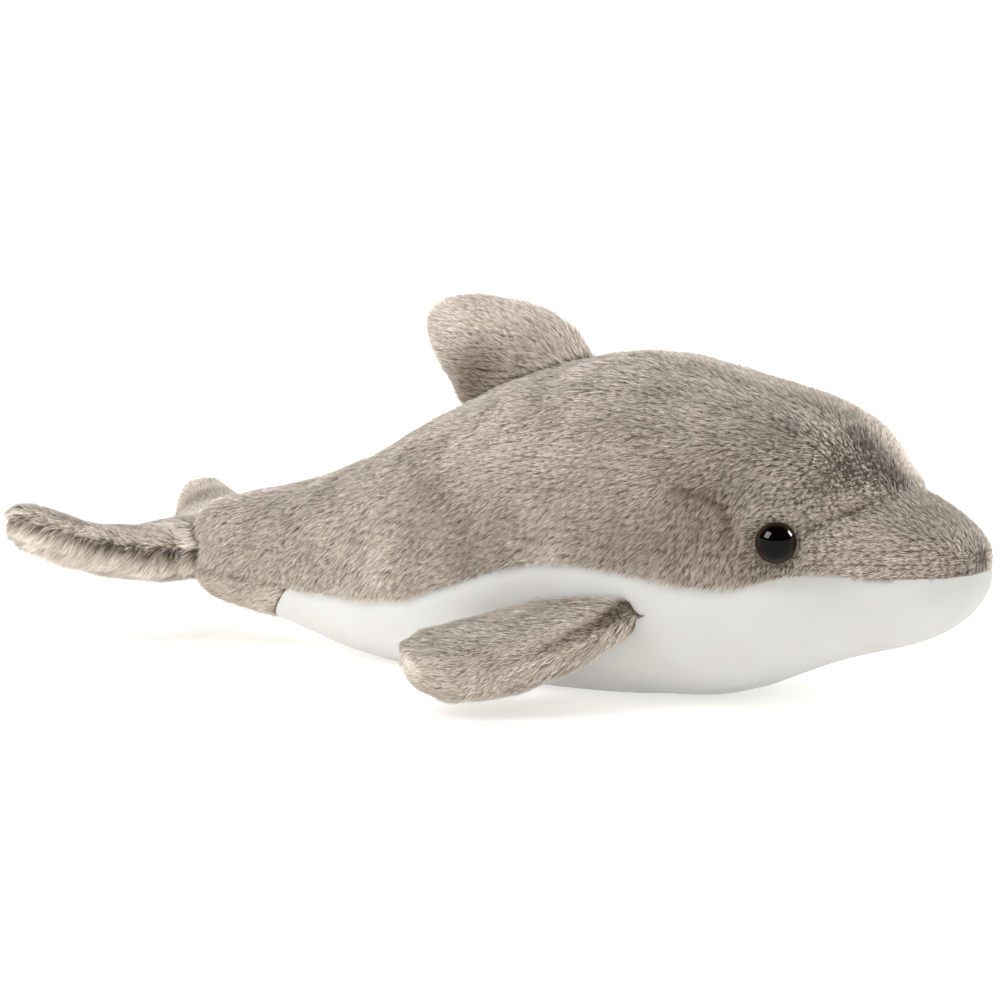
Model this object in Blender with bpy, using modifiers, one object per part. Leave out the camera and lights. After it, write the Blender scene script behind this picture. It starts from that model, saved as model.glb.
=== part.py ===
"""Plush dolphin: fur fabric panels sewn into a skin, stuffed, with two safety eyes.

Units are metres. +Z is up, +X points to the snout and +Y to the dolphin's left.
The origin is the centre of the flat spot under the belly, on which the toy rests.
"""
import math

import bmesh
import bpy
from mathutils import Matrix, Vector

# Fabric, seams and fits
FUR_THICKNESS = 0.0040
SEAM_GAP = 0.0006
STUFFING_CLEARANCE = 0.0005
ROOT_CLEARANCE = 0.0003
FIT_CLEARANCE = 0.0003

# Body ends, and how much of each end is rounded off
TAIL_END_X = -0.157
NOSE_X = 0.1045
TAIL_ROUNDING = 0.010
NOSE_ROUNDING = 0.018
FLOOR_Z = 0.0

# Trunk with the forehead: x, half width, top, bottom
TRUNK = (
    (-0.160, 0.0150, 0.0440, 0.0130),
    (-0.125, 0.0200, 0.0495, 0.0085),
    (-0.095, 0.0290, 0.0595, 0.0010),
    (-0.065, 0.0380, 0.0760, -0.0025),
    (-0.030, 0.0450, 0.0915, -0.0035),
    (0.000, 0.0480, 0.0970, -0.0030),
    (0.030, 0.0460, 0.0917, 0.0005),
    (0.055, 0.0395, 0.0855, 0.0105),
    (0.066, 0.0335, 0.0805, 0.0150),
    (0.075, 0.0250, 0.0700, 0.0190),
    (0.087, 0.0120, 0.0530, 0.0280),
)

# Beak, which comes out of the trunk under the forehead: x, half width, top, bottom
BEAK = (
    (0.035, 0.0300, 0.0560, 0.0180),
    (0.060, 0.0290, 0.0610, 0.0145),
    (0.080, 0.0250, 0.0628, 0.0178),
    (0.092, 0.0215, 0.0575, 0.0222),
    (0.105, 0.0190, 0.0545, 0.0240),
)

# Height of the widest line of the body: x, height
WAIST = (
    (-0.160, 0.0300),
    (-0.095, 0.0340),
    (0.000, 0.0410),
    (0.060, 0.0425),
    (0.105, 0.0440),
)
SECTION_FULLNESS = 2.3
FOREHEAD_FOLD = 0.0025

# Border of the grey back and the white belly, seen from the side: x, height
SIDE_SEAM = (
    (-0.180, 0.0250),
    (-0.130, 0.0240),
    (-0.105, 0.0216),
    (-0.083, 0.0222),
    (-0.063, 0.0240),
    (-0.044, 0.0305),
    (-0.025, 0.0370),
    (-0.007, 0.0405),
    (0.010, 0.0400),
    (0.039, 0.0365),
    (0.060, 0.0395),
    (0.120, 0.0405),
)
TAIL_PANEL_FRONT_X = -0.118

# Stuffed pads: distance along the span, rear edge, front edge, half thickness, lift of the seam
FIN_STATIONS = (
    (-0.014, -0.0270, 0.0245, 0.0090, 0.0),
    (0.000, -0.0245, 0.0270, 0.0090, 0.0),
    (0.018, -0.0180, 0.0215, 0.0080, 0.0),
    (0.030, -0.0125, 0.0155, 0.0075, 0.0),
    (0.0435, -0.0105, 0.0100, 0.0070, 0.0),
)
FIN_ROOT = Vector((-0.038, 0.0, 0.081))
FIN_LEAN = math.radians(145.6)

FLIPPER_STATIONS = (
    (-0.012, -0.0150, 0.0120, 0.0080, 0.0),
    (0.010, -0.0190, 0.0150, 0.0092, -0.0025),
    (0.035, -0.0210, 0.0170, 0.0115, -0.0050),
    (0.052, -0.0190, 0.0170, 0.0112, -0.0040),
    (0.068, -0.0170, 0.0160, 0.0105, -0.0010),
)
FLIPPER_ROOT = Vector((0.012, -0.040, 0.0300))
FLIPPER_SWEEP = math.radians(218.0)
FLIPPER_DROOP = math.radians(13.0)
FLIPPER_ROLL = math.radians(6.0)

# The flukes are one pad across both lobes, so their distance runs from tip to tip
FLUKE_STATIONS = (
    (-0.060, -0.0600, -0.0370, 0.0070, 0.0140),
    (-0.042, -0.0490, -0.0190, 0.0072, 0.0090),
    (-0.020, -0.0320, 0.0030, 0.0075, 0.0035),
    (0.000, -0.0220, 0.0090, 0.0078, 0.0),
    (0.020, -0.0270, 0.0050, 0.0074, 0.0018),
    (0.042, -0.0310, -0.0050, 0.0064, 0.0085),
    (0.063, -0.0290, -0.0130, 0.0064, 0.0180),
)
FLUKE_ROOT = Vector((-0.155, 0.0, 0.0275))
FLUKE_PITCH = math.radians(-8.0)
FLUKE_YAW = math.radians(-6.0)

PAD_ROUNDING = 0.015
PAD_FULLNESS = 2.2

# Safety eyes: where they sit, and the turned dome, shank and lock washer
EYE_X = 0.057
EYE_Z = 0.0500
EYE_RADIUS = 0.0060
EYE_DOME_HEIGHT = 0.0052
EYE_RIM_HEIGHT = 0.0012
EYE_SINK = 0.0018
SHANK_RADIUS = 0.0018
SHANK_LENGTH = 0.0080
WASHER_RADIUS = 0.0075
WASHER_THICKNESS = 0.0014
CLAMPED_FABRIC = 0.0012

# Fineness of the meshes
BODY_ROWS = 32
BODY_AROUND = 24
PAD_ROWS = 9
FLUKE_ROWS = 16
PAD_AROUND = 12
TURNED_STEPS = 16
DOME_STEPS = 4
SEAM_STEPS = 30
END_CROWDING = 0.7
SHARP_ANGLE = math.radians(40.0)
WELD_DISTANCE = 0.00001

# How the eye's place on the curved body is found
EYE_PROBE = 0.0005
EYE_HALVINGS = 40

# Room around the toy that the cutting shapes reach over
REACH = 0.25


def clear_scene():
    for old in list(bpy.data.objects):
        bpy.data.objects.remove(old, do_unlink=True)


def new_collection(name):
    collection = bpy.data.collections.new(name)
    bpy.context.scene.collection.children.link(collection)
    return collection


def new_material(name, colour, roughness):
    material = bpy.data.materials.new(name)
    material.use_nodes = True
    shader = material.node_tree.nodes["Principled BSDF"]
    shader.inputs["Base Color"].default_value = (*colour, 1.0)
    shader.inputs["Roughness"].default_value = roughness
    shader.inputs["Metallic"].default_value = 0.0
    return material


def along(stations, column, x):
    """One column's value at x, on a smooth curve through the stations that never overshoots."""
    if x <= stations[0][0]:
        return stations[0][column]
    if x >= stations[-1][0]:
        return stations[-1][column]
    place = max(i for i, station in enumerate(stations) if station[0] <= x)
    step = stations[place + 1][0] - stations[place][0]
    share = (x - stations[place][0]) / step
    start, stop = stations[place][column], stations[place + 1][column]
    leave = slope_at(stations, column, place) * step
    arrive = slope_at(stations, column, place + 1) * step
    blend = share * share * (3.0 - 2.0 * share)
    lift = share * (1.0 - share) * ((1.0 - share) * leave - share * arrive)
    return start + (stop - start) * blend + lift


def slope_at(stations, column, place):
    """Slope of the smooth curve at one station: level at a peak, at a dip and at the ends."""
    if place in (0, len(stations) - 1):
        return 0.0
    x0, x1, x2 = (stations[place + i][0] for i in (-1, 0, 1))
    v0, v1, v2 = (stations[place + i][column] for i in (-1, 0, 1))
    before, after = (v1 - v0) / (x1 - x0), (v2 - v1) / (x2 - x1)
    if before * after <= 0.0:
        return 0.0
    return 2.0 * before * after / (before + after)


def rounded_end(distance, rounding):
    """Share of the full section at a distance from an end with an elliptic rounding."""
    if distance >= rounding:
        return 1.0
    return math.sqrt(max(0.0, 1.0 - (1.0 - distance / rounding) ** 2))


def section_radius(angle, half_width, above, below, fullness):
    """Radius of a full, egg-shaped section in the direction of an angle."""
    across = abs(math.cos(angle)) / half_width
    upright = abs(math.sin(angle)) / (above if math.sin(angle) > 0.0 else below)
    return (across ** fullness + upright ** fullness) ** (-1.0 / fullness)


def body_radius(x, angle):
    """Radius of the body around its widest line: the larger of the trunk and the beak."""
    waist = along(WAIST, 1, x)
    radii = []
    for part in (TRUNK, BEAK):
        half_width, top, bottom = (along(part, column, x) for column in (1, 2, 3))
        radii.append(section_radius(angle, half_width, top - waist, waist - bottom, SECTION_FULLNESS))
    trunk, beak = radii
    if x < BEAK[0][0]:
        return trunk
    overlap = max(FOREHEAD_FOLD - abs(trunk - beak), 0.0)
    return max(trunk, beak) + overlap ** 2 / (4.0 * FOREHEAD_FOLD)


def body_point(x, angle):
    """Point of the body's surface, pressed flat where it meets the floor."""
    ends = rounded_end(x - TAIL_END_X, TAIL_ROUNDING) * rounded_end(NOSE_X - x, NOSE_ROUNDING)
    radius = body_radius(x, angle) * ends
    height = along(WAIST, 1, x) + radius * math.sin(angle)
    return Vector((x, radius * math.cos(angle), max(height, FLOOR_Z)))


def crowded(share):
    """Even shares from 0 to 1, moved closer together towards both ends."""
    return END_CROWDING * 0.5 * (1.0 - math.cos(math.pi * share)) + (1.0 - END_CROWDING) * share


def wrapped_sphere(name, around, rows, place):
    """Mesh of a sphere whose points are moved to place(share from pole to pole, angle)."""
    work = bmesh.new()
    bmesh.ops.create_uvsphere(work, u_segments=around, v_segments=rows, radius=1.0)
    for vert in work.verts:
        share = math.acos(max(-1.0, min(1.0, vert.co.z))) / math.pi
        vert.co = place(share, math.atan2(vert.co.y, vert.co.x))
    return finished_mesh(name, work)


def finished_mesh(name, work):
    work.normal_update()
    bmesh.ops.recalc_face_normals(work, faces=work.faces)
    mesh = bpy.data.meshes.new(name)
    work.to_mesh(mesh)
    work.free()
    return mesh


def shrunk(name, mesh, depth):
    """Copy of a closed skin, moved inwards by an even depth, or outwards where it is negative."""
    work = bmesh.new()
    work.from_mesh(mesh)
    work.normal_update()
    moves = [vert.normal * vert.calc_shell_factor() * depth for vert in work.verts]
    for vert, move in zip(work.verts, moves):
        vert.co -= move
    return finished_mesh(name, work)


def add_object(name, mesh, material, collection):
    made = bpy.data.objects.new(name, mesh)
    collection.objects.link(made)
    if material:
        mesh.materials.append(material)
        mesh.shade_smooth()
        mesh.set_sharp_from_angle(angle=SHARP_ANGLE)
    else:
        made.display_type = "WIRE"
        made.hide_render = True
    return made


def solidify(target):
    """Turn a closed skin into a hollow one, with the fabric's thickness to the inside."""
    fabric = target.modifiers.new("fabric", "SOLIDIFY")
    fabric.thickness = FUR_THICKNESS
    fabric.offset = -1.0
    fabric.use_even_offset = True


def boolean(target, cutter, operation):
    cut = target.modifiers.new(cutter.name, "BOOLEAN")
    cut.operation = operation
    cut.solver = "EXACT"
    cut.object = cutter


def cut_away(target, shapes, cutters):
    """Cut several shapes out of a solid in one step, which keeps their common corners exact."""
    group = bpy.data.collections.new(target.name + "_cutters")
    cutters.children.link(group)
    for shape in shapes:
        group.objects.link(shape)
    cut = target.modifiers.new(group.name, "BOOLEAN")
    cut.operation = "DIFFERENCE"
    cut.solver = "EXACT"
    cut.operand_type = "COLLECTION"
    cut.collection = group


def region_beside(name, edge, far_z, near_y, far_y, frame, collection):
    """Solid between an edge of (x, z) points in a frame and a far height, from near_y to far_y."""
    work = bmesh.new()
    rows = [[work.verts.new((x, near_y, height)) for height in (z, far_z)] for x, z in edge]
    faces = [work.faces.new((a[0], b[0], b[1], a[1])) for a, b in zip(rows, rows[1:])]
    grown = bmesh.ops.extrude_face_region(work, geom=faces)
    moved = [item for item in grown["geom"] if isinstance(item, bmesh.types.BMVert)]
    bmesh.ops.translate(work, verts=moved, vec=(0.0, far_y - near_y, 0.0))
    bmesh.ops.transform(work, matrix=frame, verts=work.verts)
    return add_object(name, finished_mesh(name, work), None, collection)


def curve_points(stations, column, steps, shift):
    """Points (x, value) along the smooth curve through one column, moved up by a shift."""
    first, last = stations[0][0], stations[-1][0]
    places = [first + (last - first) * i / steps for i in range(steps + 1)]
    return [(x, along(stations, column, x) + shift) for x in places]


def turned(name, profile, frame, material, collection):
    """Solid turned around a frame's Z axis from a profile of (radius, height) points."""
    work = bmesh.new()
    points = [work.verts.new((radius, 0.0, height)) for radius, height in profile]
    for first, second in zip(points, points[1:]):
        work.edges.new((first, second))
    if profile[0][0] > 0.0:
        work.edges.new((points[-1], points[0]))
    mesh = bpy.data.meshes.new(name)
    work.to_mesh(mesh)
    work.free()
    made = add_object(name, mesh, material, collection)
    made.matrix_world = frame
    screw = made.modifiers.new("turn", "SCREW")
    screw.steps = TURNED_STEPS
    screw.render_steps = TURNED_STEPS
    screw.use_merge_vertices = True
    screw.merge_threshold = WELD_DISTANCE
    return made


def make_body(parts, cutters, grey, white, fill):
    """The four body panels, the stuffing inside them, and the shape that trims what is sewn on."""
    def place(share, angle):
        x = TAIL_END_X + (NOSE_X - TAIL_END_X) * crowded(share)
        return body_point(x, angle)

    skin = wrapped_sphere("body_skin", BODY_AROUND, BODY_ROWS, place)
    above = curve_points(SIDE_SEAM, 1, SEAM_STEPS, 0.5 * SEAM_GAP)
    below = curve_points(SIDE_SEAM, 1, SEAM_STEPS, -0.5 * SEAM_GAP)
    split = TAIL_PANEL_FRONT_X
    split_z = along(SIDE_SEAM, 1, split) - 0.5 * SEAM_GAP
    below_tail = [point for point in below if point[0] < split - SEAM_GAP]
    below_tail.append((split - 0.5 * SEAM_GAP, split_z))
    below_belly = [(split + 0.5 * SEAM_GAP, split_z)]
    below_belly += [point for point in below if point[0] > split + SEAM_GAP]

    panels = (
        ("back_panel_left", above, REACH, 0.5 * SEAM_GAP, REACH, grey),
        ("back_panel_right", above, REACH, -REACH, -0.5 * SEAM_GAP, grey),
        ("belly_panel", below_belly, -REACH, -REACH, REACH, white),
        ("tail_underside_panel", below_tail, -REACH, -REACH, REACH, grey),
    )
    made = {}
    for name, edge, far_z, near_y, far_y, material in panels:
        panel = add_object(name, skin.copy(), material, parts)
        region = region_beside(name + "_region", edge, far_z, near_y, far_y, Matrix(), cutters)
        solidify(panel)
        boolean(panel, region, "INTERSECT")
        made[name] = panel

    depth = FUR_THICKNESS + STUFFING_CLEARANCE
    made["body_stuffing"] = add_object("body_stuffing", shrunk("body_stuffing", skin, depth), fill, parts)
    trimmer = shrunk("body_trimmer", skin, -ROOT_CLEARANCE)
    made["trimmer"] = add_object("body_trimmer", trimmer, None, cutters)
    bpy.data.meshes.remove(skin)
    return made


def pad_mesh(name, stations, depth, rows, frame):
    """Closed skin of a stuffed pad, or of its inside at an even depth below that skin.

    The span runs along the frame's X, the chord along Y and the thickness along Z.
    """
    first, last = stations[0][0] + depth, stations[-1][0] - depth
    rounding = PAD_ROUNDING - depth

    def place(share, angle):
        span = first + (last - first) * crowded(share)
        rear, front, half_thickness, lift = (along(stations, column, span) for column in (1, 2, 3, 4))
        ends = rounded_end(span - first, rounding) * rounded_end(last - span, rounding)
        half_chord = 0.5 * (front - rear) - depth
        thickness = half_thickness - depth
        radius = section_radius(angle, half_chord, thickness, thickness, PAD_FULLNESS) * ends
        chord = 0.5 * (rear + front) + radius * math.cos(angle)
        return frame @ Vector((span, chord, lift + radius * math.sin(angle)))

    return wrapped_sphere(name, PAD_AROUND, rows, place)


def make_pad(name, sides, stations, rows, frame, trimmer, grey, fill, parts, cutters):
    """Two sewn panels and their stuffing, trimmed at the root to the body they are sewn to."""
    core = add_object(name + "_core", pad_mesh(name + "_core", stations, FUR_THICKNESS, rows, frame),
                      None, cutters)
    for side, side_name in zip((1, -1), sides):
        panel_name = name + "_" + side_name
        panel = add_object(panel_name, pad_mesh(panel_name, stations, 0.0, rows, frame), grey, parts)
        edge = curve_points(stations, 4, rows, side * 0.5 * SEAM_GAP)
        edge = [(-REACH, edge[0][1])] + edge + [(REACH, edge[-1][1])]
        waste_name = panel_name + "_waste"
        waste = region_beside(waste_name, edge, -side * REACH, -REACH, REACH, frame, cutters)
        cut_away(panel, (core, trimmer, waste), cutters)
    stuffing_name = name + "_stuffing"
    inside = pad_mesh(stuffing_name, stations, FUR_THICKNESS + STUFFING_CLEARANCE, rows, frame)
    boolean(add_object(stuffing_name, inside, fill, parts), trimmer, "DIFFERENCE")


def frame_from(origin, span, chord):
    """Frame with X along the span, Y along the chord as far as it is square to X, and Z across both."""
    x_axis = span.normalized()
    z_axis = x_axis.cross(chord).normalized()
    y_axis = z_axis.cross(x_axis)
    turn = Matrix((x_axis, y_axis, z_axis)).transposed().to_4x4()
    return Matrix.Translation(origin) @ turn


def fin_frame():
    span = Vector((math.cos(FIN_LEAN), 0.0, math.sin(FIN_LEAN)))
    chord = Vector((math.sin(FIN_LEAN), 0.0, -math.cos(FIN_LEAN)))
    return frame_from(FIN_ROOT, span, chord)


def flipper_frame(side):
    """Frame of one flipper: side is -1 for the right one and 1 for the left one."""
    level = math.cos(FLIPPER_DROOP)
    drop = -math.sin(FLIPPER_DROOP)
    span = Vector((level * math.cos(FLIPPER_SWEEP), level * math.sin(FLIPPER_SWEEP), drop))
    flat = Vector((-math.sin(FLIPPER_SWEEP), math.cos(FLIPPER_SWEEP), 0.0))
    up = span.cross(flat).normalized()
    if up.z < 0.0:
        up.negate()
    chord = flat * math.cos(FLIPPER_ROLL) - up * math.sin(FLIPPER_ROLL)
    mirror = Vector((1.0, -float(side), 1.0))
    return frame_from(FLIPPER_ROOT * mirror, span * mirror, chord * mirror * -float(side))


def fluke_frame():
    turn = Matrix.Rotation(FLUKE_YAW, 3, "Z")
    forward = turn @ Vector((math.cos(FLUKE_PITCH), 0.0, -math.sin(FLUKE_PITCH)))
    across = turn @ Vector((0.0, -1.0, 0.0))
    return frame_from(FLUKE_ROOT, across, forward)


def eye_frame(side):
    """Frame on the body's surface at one eye, with Z pointing straight out of the fur."""
    angle = eye_angle()
    here = body_point(EYE_X, angle)
    along_body = body_point(EYE_X + EYE_PROBE, angle) - body_point(EYE_X - EYE_PROBE, angle)
    around_body = body_point(EYE_X, angle + EYE_PROBE) - body_point(EYE_X, angle - EYE_PROBE)
    outward = along_body.cross(around_body).normalized()
    if outward.y < 0.0:
        outward.negate()
    mirror = Vector((1.0, float(side), 1.0))
    here, outward = here * mirror, outward * mirror
    turn = outward.to_track_quat("Z", "Y").to_matrix().to_4x4()
    return Matrix.Translation(here) @ turn


def eye_angle():
    """Angle around the body at which its surface is at the eye's height."""
    low, high = 0.0, 0.5 * math.pi
    for _ in range(EYE_HALVINGS):
        middle = 0.5 * (low + high)
        if body_point(EYE_X, middle).z < EYE_Z:
            low = middle
        else:
            high = middle
    return low


def make_eye(side, side_name, body, parts, cutters, black, clear_plastic):
    """One safety eye, its lock washer inside the skin, and the holes for both."""
    frame = eye_frame(side)
    back = -EYE_SINK
    dome_base = back + EYE_RIM_HEIGHT
    arc = [0.5 * math.pi * i / DOME_STEPS for i in range(DOME_STEPS + 1)]
    dome = [(EYE_RADIUS * math.sin(a), dome_base + EYE_DOME_HEIGHT * math.cos(a)) for a in arc]
    shank_end = back - SHANK_LENGTH
    eye = [(0.0, dome[0][1])] + dome[1:]
    eye += [(EYE_RADIUS, back), (SHANK_RADIUS, back), (SHANK_RADIUS, shank_end), (0.0, shank_end)]
    turned("eye_" + side_name, eye, frame, black, parts)

    fabric_top = back - FIT_CLEARANCE
    fabric_bottom = fabric_top - CLAMPED_FABRIC
    washer_top = fabric_bottom - FIT_CLEARANCE
    washer_bottom = washer_top - WASHER_THICKNESS
    bore = SHANK_RADIUS + FIT_CLEARANCE
    washer = [(bore, washer_top), (WASHER_RADIUS, washer_top), (WASHER_RADIUS, washer_bottom),
              (bore, washer_bottom)]
    turned("eye_washer_" + side_name, washer, frame, clear_plastic, parts)

    seat = EYE_RADIUS + FIT_CLEARANCE
    pocket = WASHER_RADIUS + FIT_CLEARANCE
    deep = shank_end - FIT_CLEARANCE
    hole = [(0.0, EYE_RADIUS), (seat, EYE_RADIUS), (seat, fabric_top), (bore, fabric_top),
            (bore, fabric_bottom), (pocket, fabric_bottom), (pocket, deep), (0.0, deep)]
    cutter = turned("eye_hole_" + side_name, hole, frame, None, cutters)
    boolean(body["back_panel_" + side_name], cutter, "DIFFERENCE")
    boolean(body["body_stuffing"], cutter, "DIFFERENCE")


def main():
    clear_scene()
    parts = new_collection("plush_dolphin")
    cutters = new_collection("cutting_shapes")
    grey = new_material("grey_fur_fabric", (0.30, 0.26, 0.22), 0.95)
    white = new_material("white_plush_fabric", (0.80, 0.79, 0.77), 0.95)
    fill = new_material("polyester_stuffing", (0.85, 0.85, 0.83), 1.0)
    black = new_material("black_eye_plastic", (0.010, 0.008, 0.007), 0.08)
    clear_plastic = new_material("white_washer_plastic", (0.75, 0.75, 0.72), 0.5)

    body = make_body(parts, cutters, grey, white, fill)
    trimmer = body["trimmer"]
    for side, side_name in ((-1, "right"), (1, "left")):
        make_eye(side, side_name, body, parts, cutters, black, clear_plastic)
        make_pad(side_name + "_flipper", ("top", "bottom"), FLIPPER_STATIONS, PAD_ROWS,
                 flipper_frame(side), trimmer, grey, fill, parts, cutters)
    make_pad("dorsal_fin", ("left", "right"), FIN_STATIONS, PAD_ROWS, fin_frame(), trimmer, grey, fill,
             parts, cutters)
    make_pad("flukes", ("top", "bottom"), FLUKE_STATIONS, FLUKE_ROWS, fluke_frame(), trimmer, grey, fill,
             parts, cutters)

    root = bpy.data.objects.new("plush_dolphin_root", None)
    parts.objects.link(root)
    for made in parts.objects:
        if made is not root:
            made.parent = root


main()
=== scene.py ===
"""Plush dolphin: its fur, white plush and eyes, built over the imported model."""

import math

import bmesh
import bpy
import numpy as np
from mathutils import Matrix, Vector
from mathutils.bvhtree import BVHTree


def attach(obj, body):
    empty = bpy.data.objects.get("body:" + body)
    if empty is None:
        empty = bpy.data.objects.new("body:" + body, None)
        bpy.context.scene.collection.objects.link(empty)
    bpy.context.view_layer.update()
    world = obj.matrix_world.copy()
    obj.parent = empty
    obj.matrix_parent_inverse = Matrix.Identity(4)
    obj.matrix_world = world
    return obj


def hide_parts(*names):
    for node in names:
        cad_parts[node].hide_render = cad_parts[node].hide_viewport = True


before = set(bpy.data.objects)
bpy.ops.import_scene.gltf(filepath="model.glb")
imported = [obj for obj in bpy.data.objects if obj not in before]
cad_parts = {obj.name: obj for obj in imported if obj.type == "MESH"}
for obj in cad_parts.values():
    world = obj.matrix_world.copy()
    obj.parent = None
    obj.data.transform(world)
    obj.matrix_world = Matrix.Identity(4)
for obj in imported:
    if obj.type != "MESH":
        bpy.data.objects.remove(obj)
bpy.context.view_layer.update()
MM = 0.001

# The camera stands where the photographer's did
CAMERA_TURN = math.radians(30.0)
CAMERA_RISE = math.radians(8.0)
CAMERA_DISTANCE = 1.100
CAMERA_TARGET = Vector((-0.0508, 0.0, 0.04995))
SENSOR_MM = 36.0
LENS_MM = 134.64

BACK = ("back_panel_left", "back_panel_right")
WHITE = ("belly_panel",)
TAIL = ("tail_underside_panel",)
BODY = BACK + WHITE + TAIL

# Sewn-on pads: name, and the two panels on the sides of the seam
PADS = (
    ("dorsal_fin", ("left", "right")),
    ("right_flipper", ("top", "bottom")),
    ("left_flipper", ("top", "bottom")),
    ("flukes", ("top", "bottom")),
)
# The back's pile is one mesh for each of these: side, stretch, and its ends along X in mm
BACK_ZONES = [(side, *stretch) for side in ("left", "right")
              for stretch in (("tail", -200.0, -50.0), ("middle", -50.0, 25.0), ("head", 25.0, 200.0))]

# Grain of the stuffed forms, how far the stuffing may swell them, and how far the seams hold the cloth
BODY_VOXEL = 3.5 * MM
PAD_VOXEL = 1.9 * MM
SWELLING = 1.0 * MM
SEAM_HOLD = 4.0 * MM
CLOTH_FRAMES = 20
CLOTH_PRESSURE = 4.0
CLOTH_WALL = 1.0 * MM

# How deep the backing cloth lies under the tips of the pile
PILE_DEPTH = 1.0 * MM
PAD_PILE_DEPTH = 0.6 * MM
PLUSH_DEPTH = 0.3 * MM
# Half width of the dip that the stitches pull in along a seam
SEAM_DIP = 2.0 * MM
# The grey piece under the tail ends in front at the slant where Z - X is this
TAIL_SLANT = 133.7 * MM

# Blades of pile for each square millimetre of cloth, their width at the root, and the size of a lock.
# Real fibres are about 0.03 mm thick and stand far closer, which is too fine to show, so the blades are
# drawn wider and fewer.
BODY_DENSITY = 12.5
PAD_DENSITY = 11.5
TAIL_DENSITY = 8.0
BLADE_WIDTH = 0.23 * MM
TAIL_BLADE_WIDTH = 0.28 * MM
LOCK_SIZE = 1.2 * MM
# Locks are numbered on a grid of this many cells each way, where the toy's origin has this number
LOCK_GRID = 4096
LOCK_MIDDLE = 1000
# Blades whose roots lie deeper than this inside a pad, or a pad's inside the body, are left out
BODY_COVER = 1.0 * MM
PAD_COVER = 0.3 * MM

# The pile crowds each eye a little forward and up, and hides its rim
EYE_SHIFT = Vector((0.7, 0.0, 0.5)) * MM
EYE_SHOWN = 0.95
# Depth of the eye's lens-shaped base, as a share of its radius
EYE_BASE = 0.35

# Colours along a blade, from the depth of the pile to its tip; the dark towards the root is painted shade
# in the depth of the pile
FUR_STOPS = ((0.0, "#2C231D"), (0.3, "#6E6258"), (0.6, "#B5A99D"), (1.0, "#EAE1D8"))

# Patches of the back, partly the pile's own uneven tone and partly painted shade and painted light, such as
# the paler band along the ridge below the fin: middle along X and Z, reach along X and Z, all in mm, and
# the change of tone
PATCHES = (
    (-52.0, 58.0, 9.0, 14.0, -0.20), (-104.0, 34.0, 9.0, 9.0, -0.10), (4.0, 58.0, 16.0, 12.0, -0.14),
    (-22.0, 55.0, 8.0, 12.0, -0.15), (-23.0, 85.0, 7.0, 6.0, -0.18), (57.0, 82.0, 9.0, 6.0, -0.15),
    (-122.0, 37.0, 13.0, 9.0, -0.12), (-66.0, 36.0, 7.0, 7.0, 0.14),
    (15.0, 79.0, 16.0, 8.0, -0.12), (34.0, 70.0, 10.0, 10.0, -0.12), (52.0, 78.0, 9.0, 8.0, -0.08),
    (15.0, 47.0, 13.0, 10.0, -0.30), (-33.0, 43.0, 17.0, 13.0, -0.28), (90.0, 55.0, 10.0, 7.0, -0.22),
    (-82.0, 43.0, 14.0, 10.0, 0.04), (-70.0, 25.0, 14.0, 8.0, 0.06),
    (-40.0, 78.0, 18.0, 12.0, 0.20), (-5.0, 93.0, 22.0, 8.0, 0.24))
# Crease on each cheek, which curls round behind the eye; the pile is drawn darker along it as painted shade
CHEEK_CREASE = np.array(((30.0, 42.0, 65.0), (37.0, 41.0, 64.0), (43.0, 40.0, 61.0), (45.0, 41.0, 56.0),
                         (45.5, 42.0, 52.0))) * MM
# Fold between the forehead and the beak on one cheek, from the middle of the face to the eye
FOLD = np.array(((80.5, 0.0, 62.6), (81.1, 12.4, 60.6), (79.2, 17.2, 59.4), (76.4, 20.5, 57.8),
                 (71.8, 26.4, 55.8), (68.8, 29.9, 54.0), (64.9, 33.5, 52.0))) * MM


def linear(code):
    """Linear colour from an sRGB hex value."""
    shares = [int(code[i:i + 2], 16) / 255.0 for i in (1, 3, 5)]
    bent = [s / 12.92 if s <= 0.04045 else ((s + 0.055) / 1.055) ** 2.4 for s in shares]
    return (*bent, 1.0)


def add_node(tree, kind, links=(), values=(), **settings):
    """Add a shader node with its (input, source) links, its (input, number) values and its settings."""
    node = tree.nodes.new(kind)
    for key, value in settings.items():
        if hasattr(node, key):
            setattr(node, key, value)
        else:
            node.inputs[key.replace("_", " ").title()].default_value = value
    for target, number in values:
        node.inputs[target].default_value = number
    for target, source in links:
        tree.links.new(source, node.inputs[target])
    return node


def new_finish(name):
    """A material with its node tree and its empty Principled shader."""
    material = bpy.data.materials.new(name)
    material.use_nodes = True
    tree = material.node_tree
    return material, tree, tree.nodes["Principled BSDF"]


def set_shader(shader, **values):
    for key, value in values.items():
        shader.inputs[key.replace("_", " ").title().replace("Ior", "IOR")].default_value = value


def ramp_stops(ramp, stops):
    """Give a colour ramp its (place, hex colour) stops."""
    elements = ramp.color_ramp.elements
    while len(elements) < len(stops):
        elements.new(0.5)
    for element, (place, code) in zip(elements, stops):
        element.position = place
        element.color = linear(code)


def face_out(tree, shader):
    """Light a fibre alike from both of its sides, as its round thread would be."""
    surface = add_node(tree, "ShaderNodeNewGeometry")
    turned = add_node(tree, "ShaderNodeMath", [(0, surface.outputs["Backfacing"])],
                      [(1, -2.0), (2, 1.0)], operation="MULTIPLY_ADD")
    outward = add_node(tree, "ShaderNodeVectorMath", [(0, surface.outputs["Normal"]),
                                                      ("Scale", turned.outputs["Value"])],
                       operation="SCALE")
    tree.links.new(outward.outputs["Vector"], shader.inputs["Normal"])


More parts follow.
